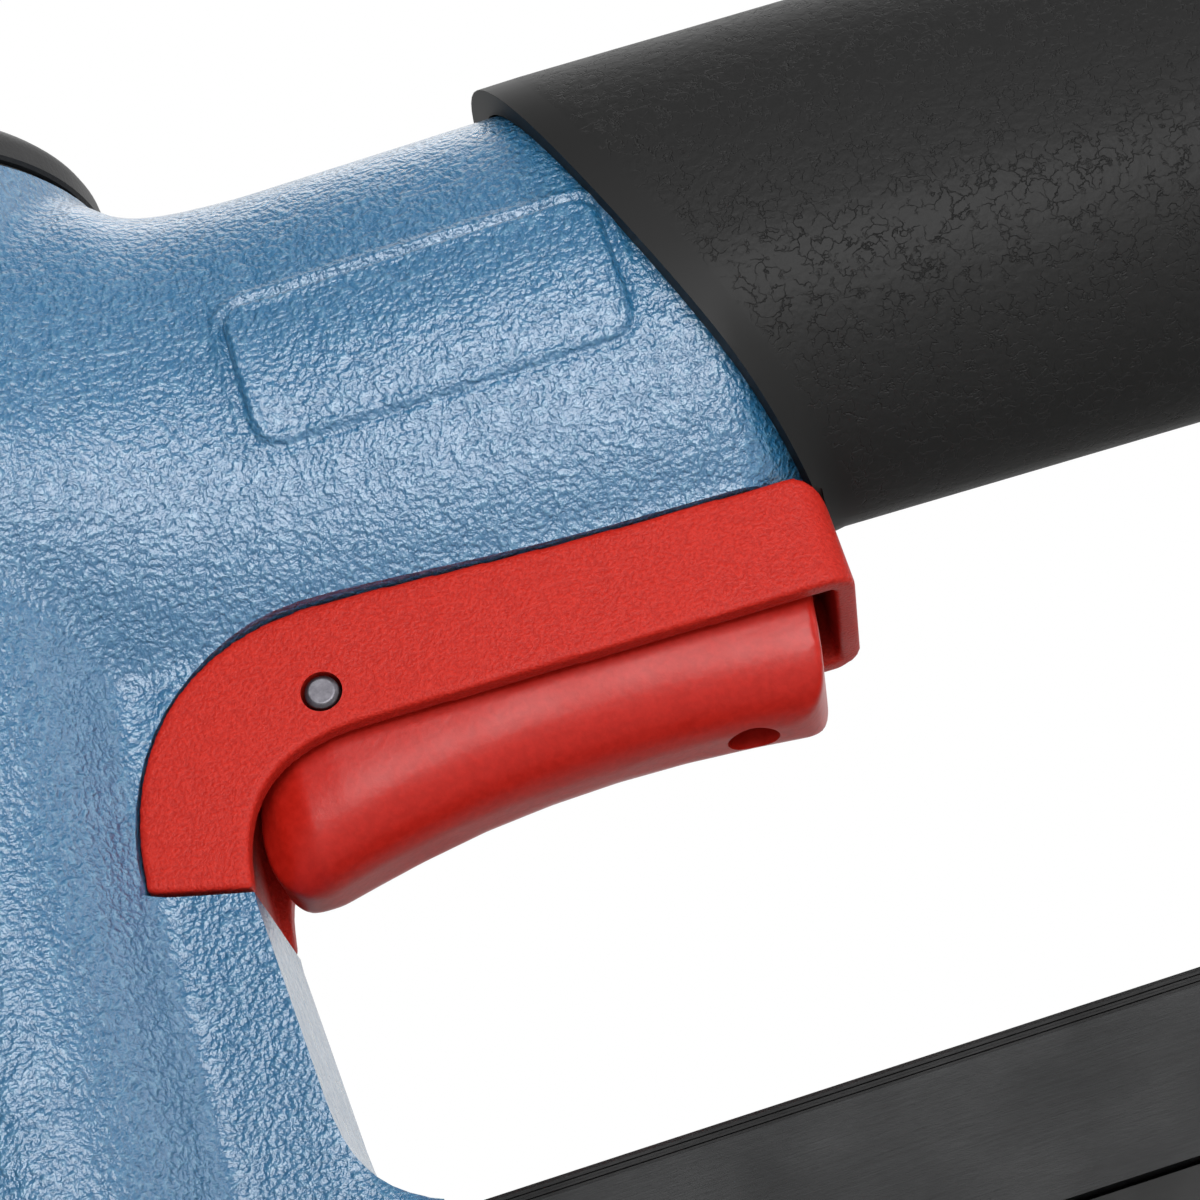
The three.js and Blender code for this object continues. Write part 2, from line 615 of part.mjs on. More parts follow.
const lever = outline([[155.2, 26.4], [157.8, 26.4], [158.4, 28.3], [167, 28.3], [170, 27], [175, 27],
  [178, 28.6], [184.5, 29.4], [187, 31.4], [187, 32.6], [184.5, 33.4], [175, 33.4], [171, 33.4],
  [160, 31.2], [155.2, 30.6]]);
let latch = solid(alongY(lever, -4.6, 4.6));
latch = latch.subtract(solid(rodY(1.5 + gap, -20, 20, 172.4, 29.6, 16)));
add('latch_lever', latch, steel);
add('latch_pin', rodY(1.5, -10.4, 10.4, 172.4, 29.6, 16), steel);
add('latch_spring', coil(2, 0.5, 4, 20.9, 28.4).translate(180, 0, 0), steel);

export default gun;
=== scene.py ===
import math

import bmesh
import bpy
from mathutils import Matrix, Vector


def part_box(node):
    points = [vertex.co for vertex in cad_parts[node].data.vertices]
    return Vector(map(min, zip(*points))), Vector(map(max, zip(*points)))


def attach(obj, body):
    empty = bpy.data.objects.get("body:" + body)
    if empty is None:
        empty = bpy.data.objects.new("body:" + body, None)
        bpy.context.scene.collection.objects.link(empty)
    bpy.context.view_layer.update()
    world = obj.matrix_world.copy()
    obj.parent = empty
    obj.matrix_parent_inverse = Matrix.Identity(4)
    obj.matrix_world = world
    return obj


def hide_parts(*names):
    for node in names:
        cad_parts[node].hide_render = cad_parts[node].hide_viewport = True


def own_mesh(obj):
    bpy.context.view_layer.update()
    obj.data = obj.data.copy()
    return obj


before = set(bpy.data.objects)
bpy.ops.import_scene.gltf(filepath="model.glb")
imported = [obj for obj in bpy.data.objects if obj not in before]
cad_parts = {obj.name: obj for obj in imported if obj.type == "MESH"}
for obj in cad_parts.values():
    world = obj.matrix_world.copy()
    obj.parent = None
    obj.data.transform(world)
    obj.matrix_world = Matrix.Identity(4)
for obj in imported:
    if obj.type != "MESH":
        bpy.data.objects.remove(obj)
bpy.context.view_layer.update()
mm = 0.001
capLow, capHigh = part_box("cylinder_cap")
headX = (capLow.x + capHigh.x) / 2  # the driver axis, which every outline below is drawn from
print("frame loaded")


# Places and curves. Outlines are in millimetres: x from the driver axis, z from the ground.

def place(x, z, y=0.0):
    return Vector((headX + x * mm, y * mm, z * mm))


def bend(start, pullStart, pullEnd, end, steps=10):
    points = []
    for i in range(1, steps + 1):
        t = i / steps
        weights = ((1 - t) ** 3, 3 * t * (1 - t) ** 2, 3 * t * t * (1 - t), t ** 3)
        spots = (start, pullStart, pullEnd, end)
        points.append(tuple(sum(w * s[k] for w, s in zip(weights, spots)) for k in (0, 1)))
    return points


def arc(centre, radius, fromDegrees, toDegrees, steps=8):
    points = []
    for i in range(steps + 1):
        angle = math.radians(fromDegrees + (toDegrees - fromDegrees) * i / steps)
        points.append((centre[0] + radius * math.cos(angle), centre[1] + radius * math.sin(angle)))
    return points


# Mesh helpers

def prism(outline, low, high, axis="y"):
    # a closed outline pushed along one axis: (x, z) along y, (y, z) along x, (x, y) along z
    bm = bmesh.new()
    corners = []
    for u, v in outline:
        spot = {"y": (u, low, v), "x": (low, u, v), "z": (u, v, low)}[axis]
        corners.append(bm.verts.new(place(spot[0], spot[2], spot[1])))
    face = bm.faces.new(corners)
    pushed = bmesh.ops.extrude_face_region(bm, geom=[face])["geom"]
    step = {"y": (0, 1, 0), "x": (1, 0, 0), "z": (0, 0, 1)}[axis]
    bmesh.ops.translate(bm, verts=[v for v in pushed if isinstance(v, bmesh.types.BMVert)],
                        vec=Vector(step) * (high - low) * mm)
    bmesh.ops.recalc_face_normals(bm, faces=bm.faces)
    return bm


def turned(profile, steps, at=(0, 0, 0), along="z"):
    # a profile of (radius, height) points, turned about its axis and moved into place
    bm = bmesh.new()
    spots = [bm.verts.new((r * mm, 0, h * mm)) for r, h in profile]
    lines = [bm.edges.new(pair) for pair in zip(spots, spots[1:])]
    bmesh.ops.spin(bm, geom=spots + lines, axis=(0, 0, 1), cent=(0, 0, 0), angle=2 * math.pi,
                   steps=steps, use_merge=True)
    bmesh.ops.remove_doubles(bm, verts=bm.verts, dist=1e-6)
    bmesh.ops.recalc_face_normals(bm, faces=bm.faces)
    turns = {"z": Matrix(), "x": Matrix.Rotation(math.pi / 2, 4, "Y"),
             "-x": Matrix.Rotation(-math.pi / 2, 4, "Y"), "y": Matrix.Rotation(-math.pi / 2, 4, "X")}
    shift = Matrix.Translation(place(at[0], at[2], at[1]))
    bmesh.ops.transform(bm, matrix=shift @ turns[along], verts=bm.verts)
    return bm


def rod(radius, low, high, steps, at=(0, 0, 0), along="z"):
    # a plain round bar, mostly used to drill with
    return turned([(0, low), (radius, low), (radius, high), (0, high)], steps, at, along)


def brick(x, y, z):
    # a box between the given limits
    return prism([(x[0], z[0]), (x[1], z[0]), (x[1], z[1]), (x[0], z[1])], y[0], y[1])


def looseObject(name, bm):
    mesh = bpy.data.meshes.new(name)
    bm.to_mesh(mesh)
    bm.free()
    thing = bpy.data.objects.new(name, mesh)
    bpy.context.scene.collection.objects.link(thing)
    return thing


def settle(thing):
    # turns the live modifiers into the mesh itself
    bpy.context.view_layer.update()
    done = bpy.data.meshes.new_from_object(thing.evaluated_get(bpy.context.evaluated_depsgraph_get()))
    old = thing.data
    thing.modifiers.clear()
    thing.data = done
    bpy.data.meshes.remove(old)
    return thing


def carve(thing, bm, operation="DIFFERENCE", slot=0):
    # cuts or joins a closed shape, and gives the new faces a material slot
    tool = looseObject("tool", bm)
    for _ in range(slot + 1):
        tool.data.materials.append(None)
    for face in tool.data.polygons:
        face.material_index = slot
    while len(thing.data.materials) < slot + 1:
        thing.data.materials.append(None)
    cut = thing.modifiers.new("carve", "BOOLEAN")
    cut.operation = operation
    cut.solver = "MANIFOLD"
    cut.object = tool
    settle(thing)
    bpy.data.objects.remove(tool)
    return thing


def soften(thing, voxel, rounds):
    # one skin over everything that is joined, with its inner corners filled and its edges rounded
    skin = thing.modifiers.new("skin", "REMESH")
    skin.mode = "VOXEL"
    skin.voxel_size = voxel * mm
    ease = thing.modifiers.new("ease", "SMOOTH")
    ease.factor = 0.5
    ease.iterations = rounds
    return settle(thing)


def finish(thing, body, stands, materials, edge=0.0, segments=3, sharp=40):
    # materials, rounded edges, and the place of the piece in the gun
    thing.data.materials.clear()
    for material in materials:
        thing.data.materials.append(material)
    for face in thing.data.polygons:
        face.use_smooth = True
    if edge:
        rounding = thing.modifiers.new("edges", "BEVEL")
        rounding.width = edge * mm
        rounding.segments = segments
        rounding.limit_method = "ANGLE"
        rounding.angle_limit = math.radians(35)
        rounding.harden_normals = True
    else:
        thing.data.set_sharp_from_angle(angle=math.radians(sharp))
    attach(thing, body)
    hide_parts(*stands)
    return thing


# Materials

def colour(code):
    # an sRGB hex value as linear light
    parts = [int(code[i:i + 2], 16) / 255 for i in (1, 3, 5)]
    return [p / 12.92 if p <= 0.04045 else ((p + 0.055) / 1.055) ** 2.4 for p in parts] + [1.0]


def newMaterial(name, base, roughness, metallic=0.0, **sockets):
    material = bpy.data.materials.new(name)
    material.use_nodes = True
    shader = material.node_tree.nodes["Principled BSDF"]
    shader.inputs["Base Color"].default_value = colour(base)
    shader.inputs["Roughness"].default_value = roughness
    shader.inputs["Metallic"].default_value = metallic
    for socket, value in sockets.items():
        shader.inputs[socket.replace("_", " ")].default_value = value
    return material, material.node_tree, shader


def node(tree, kind, settings=None, **links):
    # adds one node; a link is a socket or a value for the input of that name
    made = tree.nodes.new(kind)
    for key, value in (settings or {}).items():
        setattr(made, key, value)
    for key, value in links.items():
        numbered = key[0] == "i" and key[1:].isdigit()
        target = made.inputs[int(key[1:]) if numbered else key.replace("_", " ")]
        if isinstance(value, bpy.types.NodeSocket):
            tree.links.new(value, target)
        else:
            target.default_value = value
    return made


def ramp(tree, source, stops):
    # a colour ramp from (place, hex colour) stops
    made = node(tree, "ShaderNodeValToRGB", i0=source)
    while len(made.color_ramp.elements) < len(stops):
        made.color_ramp.elements.new(0.5)
    for element, (spot, code) in zip(made.color_ramp.elements, stops):
        element.position = spot
        element.color = colour(code)
    return made.outputs["Color"]


def mapRange(tree, value, fromLow, fromHigh, toLow, toHigh):
    return node(tree, "ShaderNodeMapRange", i0=value, i1=fromLow, i2=fromHigh, i3=toLow, i4=toHigh).outputs[0]


def perMetre(size):
    # texture scale whose features are about this many millimetres
    return 1000.0 / size


# The grain is in millimetres; how far it wanders and how deep its two coats' bumps are is in metres
# deep and pale are painted shade in the hollows and a painted highlight on the crests of the bumps; mid is
# the enamel's own colour
paint = {"deep": "#1d5d86", "mid": "#2b668d", "pale": "#497b9c", "bump": 1.0, "grain": 0.5, "roughness": 0.3,
         "wander": 0.0009, "relief": 0.00052, "flow": 0.0002}


def hammeredPaint():
    # stove-enamelled hammer finish on a die casting: close soft bumps that glint on their crests
    material, tree, shader = newMaterial("hammer enamel on die casting", paint["mid"], paint["roughness"],
                                         Coat_Weight=1.0, Coat_Roughness=0.24, Coat_IOR=1.59)
    spot = node(tree, "ShaderNodeTexCoord").outputs["Object"]
    wander = node(tree, "ShaderNodeTexNoise", Vector=spot, Scale=perMetre(3.0), Detail=2.0)
    offset = node(tree, "ShaderNodeVectorMath", {"operation": "SCALE"}, i0=wander.outputs["Color"],
                  Scale=paint["wander"])
    warped = node(tree, "ShaderNodeVectorMath", {"operation": "ADD"}, i0=spot, i1=offset.outputs[0])
    bumps = node(tree, "ShaderNodeTexNoise", Vector=warped.outputs[0], Scale=perMetre(paint["grain"]),
                 Detail=2.5, Roughness=0.45)
    broad = node(tree, "ShaderNodeTexNoise", Vector=spot, Scale=perMetre(2.2), Detail=1.0)
    height = node(tree, "ShaderNodeMath", {"operation": "MULTIPLY_ADD"}, i0=broad.outputs["Fac"], i1=0.5,
                  i2=bumps.outputs["Fac"])
    relief = node(tree, "ShaderNodeBump", Strength=paint["bump"], Distance=paint["relief"],
                  Height=height.outputs[0])
    # the clear top of the enamel has flowed out and follows the bumps more softly
    flow = node(tree, "ShaderNodeBump", Strength=paint["bump"], Distance=paint["flow"],
                Height=height.outputs[0])
    # the tint follows the bump height: the crests are painted pale as a painted highlight and the hollows
    # deep as painted shade
    tint = ramp(tree, bumps.outputs["Fac"],
                [(0.34, paint["deep"]), (0.52, paint["mid"]), (0.68, paint["pale"])])
    tree.links.new(tint, shader.inputs["Base Color"])
    tree.links.new(relief.outputs[0], shader.inputs["Normal"])
    tree.links.new(flow.outputs[0], shader.inputs["Coat Normal"])
    rough = paint["roughness"]
    wear = mapRange(tree, broad.outputs["Fac"], 0.3, 0.7, rough - 0.03, rough + 0.08)
    tree.links.new(wear, shader.inputs["Roughness"])
    return material


# The cells between creases are in millimetres, and how far the creases wander is in metres
# the crease colour is painted shade in the cuts of the rubber
grain = {"rubber": "#171717", "shadedCrease": "#111111", "roughness": 0.55, "cell": 1.5, "wander": 0.0040,
         "cut": 1.5}


def gripRubber():
    # nitrile rubber moulded in an etched tool: a leathery skin of fine creases, smooth by its front rim
    material, tree, shader = newMaterial("moulded nitrile rubber", grain["rubber"], grain["roughness"],
                                         Specular_IOR_Level=0.25)
    spot = node(tree, "ShaderNodeTexCoord").outputs["Object"]
    wander = node(tree, "ShaderNodeTexNoise", Vector=spot, Scale=perMetre(1.9), Detail=3.0, Roughness=0.55)
    offset = node(tree, "ShaderNodeVectorMath", {"operation": "SCALE"}, i0=wander.outputs["Color"],
                  Scale=grain["wander"])
    warped = node(tree, "ShaderNodeVectorMath", {"operation": "ADD"}, i0=spot, i1=offset.outputs[0])
    cells = node(tree, "ShaderNodeTexVoronoi", {"feature": "DISTANCE_TO_EDGE"}, Vector=warped.outputs[0],
                 Scale=perMetre(grain["cell"]))
    breaks = node(tree, "ShaderNodeTexNoise", Vector=spot, Scale=perMetre(1.5), Detail=2.0)
    fine = node(tree, "ShaderNodeTexNoise", Vector=spot, Scale=perMetre(0.8), Detail=3.0)
    # the moulded rim along the slanted front edge carries no grain
    slant = node(tree, "ShaderNodeVectorMath", {"operation": "DOT_PRODUCT"}, i0=spot,
                 i1=(1.0, 0.0, grip["slant"]))
    edge = place(grip["frontTop"], grip["frontTopZ"])
    front = edge.x + grip["slant"] * edge.z
    band = mapRange(tree, slant.outputs["Value"], front + 0.0030, front + 0.0042, 0.0, 1.0)
    # a crease is a thin cut that dies out and starts again, and is coloured darker in the cut as painted
    # shade
    line = mapRange(tree, cells.outputs["Distance"], 0.0, 0.055, 1.0, 0.0)
    opened = mapRange(tree, breaks.outputs["Fac"], 0.4, 0.62, 0.0, band)
    shadedCrease = node(tree, "ShaderNodeMath", {"operation": "MULTIPLY"}, i0=line, i1=opened)
    skin = mapRange(tree, fine.outputs["Fac"], 0.0, 1.0, 0.0, band)
    height = node(tree, "ShaderNodeMath", {"operation": "MULTIPLY_ADD"}, i0=shadedCrease.outputs[0],
                  i1=-grain["cut"], i2=skin)
    relief = node(tree, "ShaderNodeBump", Strength=0.5, Distance=0.00016, Height=height.outputs[0])
    tree.links.new(relief.outputs[0], shader.inputs["Normal"])
    # the creases are painted darker than the rubber: painted shade in the cuts
    tint = ramp(tree, shadedCrease.outputs[0], [(0.3, grain["rubber"]), (1.0, grain["shadedCrease"])])
    tree.links.new(tint, shader.inputs["Base Color"])
    return material


def sparkPlastic(name, base, dark, bumpSize, bump, roughness, shine=0.5):
    # moulded glass-filled nylon: an even, finely eroded skin with a soft sheen
    material, tree, shader = newMaterial(name, base, roughness, Specular_IOR_Level=shine)
    spot = node(tree, "ShaderNodeTexCoord").outputs["Object"]
    pits = node(tree, "ShaderNodeTexNoise", Vector=spot, Scale=perMetre(bumpSize), Detail=3.0, Roughness=0.6)
    cloud = node(tree, "ShaderNodeTexNoise", Vector=spot, Scale=perMetre(7.0), Detail=2.0)
    mixed = node(tree, "ShaderNodeMath", {"operation": "MULTIPLY_ADD"}, i0=cloud.outputs["Fac"], i1=0.12,
                 i2=pits.outputs["Fac"])
    tint = ramp(tree, mixed.outputs[0], [(0.42, dark), (0.72, base)])
    relief = node(tree, "ShaderNodeBump", Strength=bump, Distance=0.0002, Height=pits.outputs["Fac"])
    tree.links.new(tint, shader.inputs["Base Color"])
    tree.links.new(relief.outputs[0], shader.inputs["Normal"])
    sheen = mapRange(tree, cloud.outputs["Fac"], 0.3, 0.7, roughness - 0.04, roughness + 0.06)
    tree.links.new(sheen, shader.inputs["Roughness"])
    return material


def brushedMetal(name, base, dark, roughness, stretch, metallic=1.0, bump=0.25, lineSize=0.35, **sockets):
    # lines left by a belt or a cutter, long in one direction
    material, tree, shader = newMaterial(name, base, roughness, metallic, **sockets)
    spot = node(tree, "ShaderNodeTexCoord").outputs["Object"]
    drawn = node(tree, "ShaderNodeMapping", Vector=spot, Scale=stretch, Rotation=(0.0, 0.09, 0.0))
    lines = node(tree, "ShaderNodeTexNoise", Vector=drawn.outputs[0], Scale=perMetre(lineSize), Detail=4.0,
                 Roughness=0.65)
    cloud = node(tree, "ShaderNodeTexNoise", Vector=spot, Scale=perMetre(9.0), Detail=2.0)
    tint = ramp(tree, lines.outputs["Fac"], [(0.32, dark), (0.66, base)])
    relief = node(tree, "ShaderNodeBump", Strength=bump, Distance=0.0001, Height=lines.outputs["Fac"])
    tree.links.new(tint, shader.inputs["Base Color"])
    tree.links.new(relief.outputs[0], shader.inputs["Normal"])
    gloss = mapRange(tree, cloud.outputs["Fac"], 0.3, 0.7, roughness - 0.05, roughness + 0.08)
    tree.links.new(gloss, shader.inputs["Roughness"])
    return material


# The grip's front edge is wanted by its material too
grip = {"frontTop": 60.3, "frontTopZ": 127.0, "slant": 0.36, "wall": 2.3, "rim": 1.3}

hammerBlue = hammeredPaint()
rubber = gripRubber()
redNylon = sparkPlastic("moulded red nylon", "#be281c", "#a81b11", 0.3, 0.7, 0.42, 0.2)
redTriggerNylon = sparkPlastic("polished red nylon", "#b31f15", "#a5180e", 0.7, 0.12, 0.36, 0.3)
blackNylon = sparkPlastic("moulded black nylon", "#1d1d1e", "#171718", 0.4, 0.25, 0.45, 0.35)
machinedLand = brushedMetal("face-milled aluminium", "#a39c9c", "#837d7e", 0.45, (4.0, 4.0, 0.12), 0.8,
                            0.35, 0.6)
anodisedRail = brushedMetal("brushed black anodised aluminium", "#232425", "#19191a", 0.5, (0.06, 4.0, 4.0),
                            0.2, 0.3, 0.3, Specular_IOR_Level=0.3)
anodisedSlide = brushedMetal("drawn black anodised aluminium", "#111212", "#0d0d0d", 0.5, (0.05, 3.0, 3.0),
                             0.1, 0.15, 0.5, Specular_IOR_Level=0.25)
blackSteel = brushedMetal("blackened tool steel", "#3b3b3d", "#2c2c2e", 0.42, (1.0, 1.0, 0.3), 0.8, 0.2, 0.6)
bareAluminium = brushedMetal("turned aluminium", "#c3c4c7", "#a5a6aa", 0.34, (1.0, 1.0, 8.0), 1.0, 0.15, 0.6)
brightSteel = brushedMetal("ground steel", "#77757b", "#605e64", 0.42, (1.0, 1.0, 1.0), 1.0, 0.12, 0.5)
zincSteel = brushedMetal("zinc plated steel", "#b9bbc0", "#989aa0", 0.32, (1.0, 1.0, 1.0), 1.0, 0.12, 0.8)
turnedBrass = brushedMetal("turned brass", "#b8955a", "#99783f", 0.33, (1.0, 1.0, 6.0), 1.0, 0.12, 0.6)
sealRubber = sparkPlastic("nitrile seal rubber", "#1d1d1e", "#151516", 0.5, 0.1, 0.55)
print("materials made")


# Handle section, shared by the casting, the grip and the end cap

handle = {"half": 15.5, "top": 125.2, "eggLow": 80.9, "neckLow": 79.4, "neckFoot": 9.5, "neckEnd": 73.0,
          "eggStart": 80.0, "end": 183.0, "middle": 102.3, "droopStart": 65.0, "droopSlope": 0.028}


def handleSection(grow, x, spread=0.0, crown=0.0):
    # flat underneath over the trigger, egg shaped behind it; spread and crown swell its sides and its top
    egg = min(1.0, max(0.0, (x - handle["neckEnd"]) / (handle["eggStart"] - handle["neckEnd"])))
    egg = egg * egg * (3 - 2 * egg)
    half = handle["half"] + grow + spread
    top = handle["top"] + grow + crown
    low = handle["neckLow"] + (handle["eggLow"] - handle["neckLow"]) * egg - grow
    foot = 0.05 + (handle["neckFoot"] + grow * 0.8) * (1 - egg)
    pull = (foot + 4.0 * (1 - egg) + (4.6 + grow * 0.3) * egg, low + 6 * (1 - egg))
    shoulder = (half, low + 14 - 5 * egg)
    waist = (half, low + 23 - 2 * egg)
    right = [(foot, low)] + bend((foot, low), pull, shoulder, waist, 18)
    right += bend(waist, (half, top - 7), (half - 4.5, top), (0, top), 18)
    left = [(-y, z) for y, z in reversed(right[:-1])]
    return right + left


handleStations = [65.0] + [72.0 + i for i in range(11)] + [100.0, 140.0]


def loft(sections):
    # closed skin through a row of sections, each (x, outline of (y, z))
    bm = bmesh.new()
    rings = [[bm.verts.new(place(x, z, y)) for y, z in outline] for x, outline in sections]
    for one, other in zip(rings, rings[1:]):
        for i in range(len(one)):
            bm.faces.new((one[i - 1], one[i], other[i], other[i - 1]))
    bm.faces.new(rings[0])
    bm.faces.new(rings[-1])
    bmesh.ops.recalc_face_normals(bm, faces=bm.faces)
    return bm


def droop(bm):
    # the handle falls away slightly towards its end
    start = headX + handle["droopStart"] * mm
    for vert in bm.verts:
        vert.co.z -= handle["droopSlope"] * max(0.0, vert.co.x - start)
    return bm


# Bracket outlines, shared by the casting's pocket and the bracket

bracket = {"half": 9.7, "wall": 2.1, "rearX": 77.9, "gap": 0.16, "headClear": 16.7}


def bracketTop(grow):
    front = (14.6 - grow, 61.0)
    crest = (33.0, 81.3 + grow)
    points = [front] + bend(front, (14.6 - grow, 73.5), (22.0 - grow, 81.3 + grow), crest, 14)
    points += bend(crest, (38.0, 81.3 + grow), (48.0, 80.1 + grow), (59.0, 79.6 + grow), 6)
    return points + [(75.2 + grow, 79.0 + grow)]


# Pivots, and the places of the screws about their middles
triggerPivot = (32.7, 0, 73.4)
latchPivot = (172.4, 0, 29.6)
screws = {"cap": 14.9, "noseY": 8.2, "noseZ": (31.8, 37.0), "magazineX": 20, "magazineY": 5.5,
          "tailZ": (8.5, 16), "end": 17.5}


# Body casting

casting = {"headRadius": 17.8, "flange": 24.0, "top": 129.3, "landX": 23.0, "landHalf": 9.3, "floor": 28.4,
           "voxel": 0.8, "rounds": 16, "bore": 14.6, "valveBore": 18.0}


def castingBlank():
    size = casting
    flange = size["flange"] + 0.15
    flare = [(0, 24), (size["headRadius"], 24), (size["headRadius"], 68), (19.0, 84), (21.2, 100),
             (23.2, 114), (flange, 124), (flange, size["top"] + 4), (0, size["top"] + 4)]
    blank = looseObject("castingShell", turned(flare, 96))
    stations = [0.0] + handleStations + [handle["end"] + 2]
    carve(blank, droop(loft([(x, handleSection(0, x)) for x in stations])), "UNION")
    boss = brick((0, size["landX"] + 4), (-size["landHalf"] - 0.2, size["landHalf"] + 0.2), (24, 66))
    carve(blank, boss, "UNION")
    # web in the corner between head and handle, behind the bracket
    web = [(0, 58)] + bracketTop(-3.0) + [(76, 100), (0, 110)]
    carve(blank, prism(web, -9.6, 9.6), "UNION")
    # the handle swells into the head at its sides and its top
    swell = [(4, 6.2, 4.6), (12, 5.4, 4.4), (16, 3.9, 4.3), (20, 2.6, 4.3), (23.2, 1.8, 4.2),
             (24.3, 1.55, 3.6), (25.3, 1.35, 2.3), (26.6, 1.1, 1.4), (28.6, 0.75, 0.75), (31.5, 0.35, 0.3),
             (36, 0.1, 0.05), (40, -0.4, -0.4)]
    carve(blank, loft([(x, handleSection(0, x, side, crown)) for x, side, crown in swell]), "UNION")
    foot = [(-10, 22), (34, 22), (33, 29)] + bend((33, 29), (28, 31), (25, 34), (24.4, 40), 8) + [(-10, 40)]
    carve(blank, prism(foot, -size["landHalf"] - 0.2, size["landHalf"] + 0.2), "UNION")
    return soften(blank, size["voxel"], size["rounds"])


label = {"centre": (50.5, 100.85), "size": (34.0, 14.3), "radius": 2.6, "level": 14.9, "lip": 0.34,
         "flank": 12.0}


def labelDistance(co):
    # millimetres outside the rounded rectangle, negative inside it
    x = abs((co.x - headX) / mm - label["centre"][0]) - label["size"][0] / 2 + label["radius"]
    z = abs(co.z / mm - label["centre"][1]) - label["size"][1] / 2 + label["radius"]
    return math.hypot(max(x, 0), max(z, 0)) + min(max(x, z), 0) - label["radius"]


def labelRelief(away, reach, height):
    # a soft step down to a flat panel, a raised lip that is strongest along the top, and a slight moat
    step = 1 / (1 + math.exp(-(away + 0.2) / 0.1))
    top = min(1.0, max(0.0, (height - label["centre"][1]) / 7 + 0.5))
    lip = label["lip"] * (0.25 + 0.75 * top) * math.exp(-((away - 0.75) / 0.5) ** 2)
    moat = 0.1 * math.exp(-((away + 0.75) / 0.35) ** 2)
    return (step - 1) * (0.3 + max(0.0, reach - label["level"])) + lip - moat


def pressLabels(shell):
    # a shallow panel pressed into each flank
    bm = bmesh.new()
    bm.from_mesh(shell.data)
    for _ in range(2):
        near = [e for e in bm.edges if abs(labelDistance((e.verts[0].co + e.verts[1].co) / 2)) < 2.1
                and abs(e.verts[0].co.y) > label["flank"] * mm]
        bmesh.ops.subdivide_edges(bm, edges=near, cuts=1, use_grid_fill=True)
    bm.normal_update()
    for vert in bm.verts:
        if abs(vert.co.y) > label["flank"] * mm:
            away = labelDistance(vert.co)
            if away < 3:
                rise = labelRelief(away, abs(vert.co.y) / mm, vert.co.z / mm)
                vert.co.y += math.copysign(rise, vert.co.y) * mm
    bm.to_mesh(shell.data)
    bm.free()


def makeCasting():
    size = casting
    shell = castingBlank()
    pressLabels(shell)
    carve(shell, brick((-40, 60), (-40, 40), (size["top"], 145)), slot=1)
    carve(shell, brick((-40, 60), (-40, 40), (10, size["floor"])), slot=1)
    carve(shell, brick((handle["end"], 200), (-40, 40), (60, 140)), slot=1)
    # the land behind the head is milled bare
    land = [(size["landX"], 57), (24.2, 40)] + bend((24.2, 40), (24.6, 35), (26, 32), (30.0, 30.0), 8)
    land += [(31.0, 29.6), (31.0, 20), (60, 20), (60, 62), (size["landX"], 62)]
    carve(shell, prism(land, -30, 30), slot=1)
    pocket = bracketTop(bracket["gap"]) + [(79.6, 79.0), (79.6, 58.3), (23.0, 58.3), (14.3, 60.6)]
    cutter = looseObject("pocket", prism(pocket, -20, 20))
    carve(cutter, rod(16.4, 40, 100, 96))
    bm = bmesh.new()
    bm.from_mesh(cutter.data)
    bpy.data.objects.remove(cutter)
    carve(shell, bm)
    carve(shell, turned([(0, 50), (size["bore"], 50), (size["bore"], 114), (size["valveBore"], 114),
                         (size["valveBore"], 140), (0, 140)], 64), slot=1)
    carve(shell, rod(6.7, 60, 96, 48, (56, 0, 0)), slot=1)
    carve(shell, brick((-1.1, 1.1), (-6.7, 6.7), (20, 60)), slot=1)
    carve(shell, brick((-30, -9), (-30, 30), (20, 42)), slot=1)
    turns = [a * math.pi / 16 for a in range(32)]
    reservoir = [(9.5 * math.cos(turn), handle["middle"] + 11 * math.sin(turn)) for turn in turns]
    carve(shell, droop(prism(reservoir, 64.9, handle["end"] + 4, "x")), slot=1)
    for sideY in (-1, 1):
        carve(shell, rod(1.7, 20, 38, 24, (screws["magazineX"], sideY * screws["magazineY"], 0)), slot=1)
        for height in screws["noseZ"]:
            carve(shell, rod(1.7, -3, 6.6, 24, (-9, sideY * screws["noseY"], height), "x"), slot=1)
        for sideX in (-1, 1):
            carve(shell, rod(1.7, 117, 140, 24, (sideX * screws["cap"], sideY * screws["cap"], 0)), slot=1)
    return finish(shell, "frame", ["body_casting"], [hammerBlue, machinedLand],
                  sharp=50)


makeCasting()
print("casting made")


# Rubber grip

def makeGrip():
    stations = [50.0] + handleStations + [182.0]
    bm = loft([(x, handleSection(grip["wall"], x)) for x in stations])
    inner = loft([(x, handleSection(0.12, x)) for x in [49.0] + stations[1:-1] + [183.0]])
    normal = Vector((1, 0, grip["slant"])).normalized()
    for shape in (bm, inner):
        droop(shape)
    cut = bmesh.ops.bisect_plane(bm, geom=bm.verts[:] + bm.edges[:] + bm.faces[:], plane_no=normal,
                                 plane_co=place(grip["frontTop"], grip["frontTopZ"]), clear_inner=True)
    rim = [e for e in cut["geom_cut"] if isinstance(e, bmesh.types.BMEdge)]
    bmesh.ops.holes_fill(bm, edges=rim, sides=0)
    bmesh.ops.recalc_face_normals(bm, faces=bm.faces)
    sleeve = looseObject("gripSleeve", bm)
    carve(sleeve, inner)
    carve(sleeve, brick((60, 78.3), (-20, 20), (60, 79.3)))
    return finish(sleeve, "frame", ["rubber_grip"], [rubber], edge=grip["rim"], segments=5)


makeGrip()
print("grip made")


# Trigger bracket and its pin

